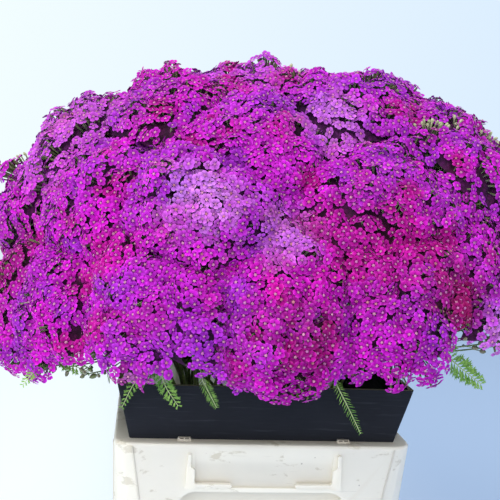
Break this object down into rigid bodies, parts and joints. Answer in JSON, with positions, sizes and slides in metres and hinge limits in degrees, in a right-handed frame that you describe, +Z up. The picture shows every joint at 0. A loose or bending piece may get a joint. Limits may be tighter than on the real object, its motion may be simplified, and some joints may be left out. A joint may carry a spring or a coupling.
{
  "type": "potted velvet dream yarrow",
  "caption": "Cut magenta yarrow in bunches, its flat flower heads closing into one dome, standing in water in a cream plastic flower container with a black cardboard collar.",
  "frame": {"origin": "middle of the container's flat underside", "axes": "+Z up through the flowers, -Y towards the short side of the container that has the card holder in front, X across that short side"},
  "size_m": [0.5797, 0.6133, 0.7326],
  "materials": {
    "plastic": "satin",
    "cardboard": "matte",
    "water": "gloss",
    "petal_magenta": "matte",
    "petal_purple": "matte",
    "petal_lilac": "matte",
    "petal_cerise": "matte",
    "green": "satin"
  },
  "bodies": {
    "root": {"container": "plastic", "collar": "cardboard", "water": "water", "flower_head_01": "petal_magenta", "flower_head_02": "petal_cerise", "flower_head_03": "petal_purple", "flower_head_04": "petal_magenta", "flower_head_05": "petal_lilac", "flower_head_06": "petal_purple", "flower_head_07": "petal_magenta", "flower_head_08": "petal_cerise", "flower_head_09": "petal_purple", "flower_head_10": "petal_magenta", "flower_head_11": "petal_lilac", "flower_head_12": "petal_magenta", "flower_head_13": "petal_lilac", "flower_head_14": "petal_cerise", "flower_head_15": "petal_purple", "flower_head_16": "petal_cerise", "flower_head_17": "petal_magenta", "flower_head_18": "petal_cerise", "flower_head_19": "petal_purple", "flower_head_20": "petal_lilac", "flower_head_21": "petal_cerise", "flower_head_22": "petal_purple", "flower_head_23": "petal_magenta", "flower_head_24": "petal_purple", "flower_head_25": "petal_magenta", "flower_head_26": "petal_cerise", "flower_head_27": "petal_lilac", "flower_head_28": "petal_lilac", "flower_head_29": "petal_lilac", "flower_head_30": "petal_lilac", "flower_head_31": "petal_magenta", "flower_head_32": "petal_cerise", "flower_head_33": "petal_purple", "flower_head_34": "petal_lilac", "flower_head_35": "petal_lilac", "flower_head_36": "petal_lilac", "flower_head_37": "petal_purple", "flower_head_38": "petal_magenta", "flower_head_39": "petal_magenta", "flower_head_40": "petal_magenta", "flower_head_41": "petal_cerise", "flower_head_42": "petal_lilac", "flower_head_43": "petal_cerise", "flower_head_44": "petal_magenta", "flower_head_45": "petal_cerise", "flower_head_46": "petal_purple", "flower_head_47": "petal_cerise", "stem_foot_1": "green", "stem_foot_2": "green", "stem_foot_3": "green", "stem_foot_4": "green", "stem_foot_5": "green", "stem_bunch_1": "green", "stem_bunch_2": "green", "stem_bunch_3": "green", "stem_bunch_4": "green", "stem_bunch_5": "green"}
  },
  "joints": []
}
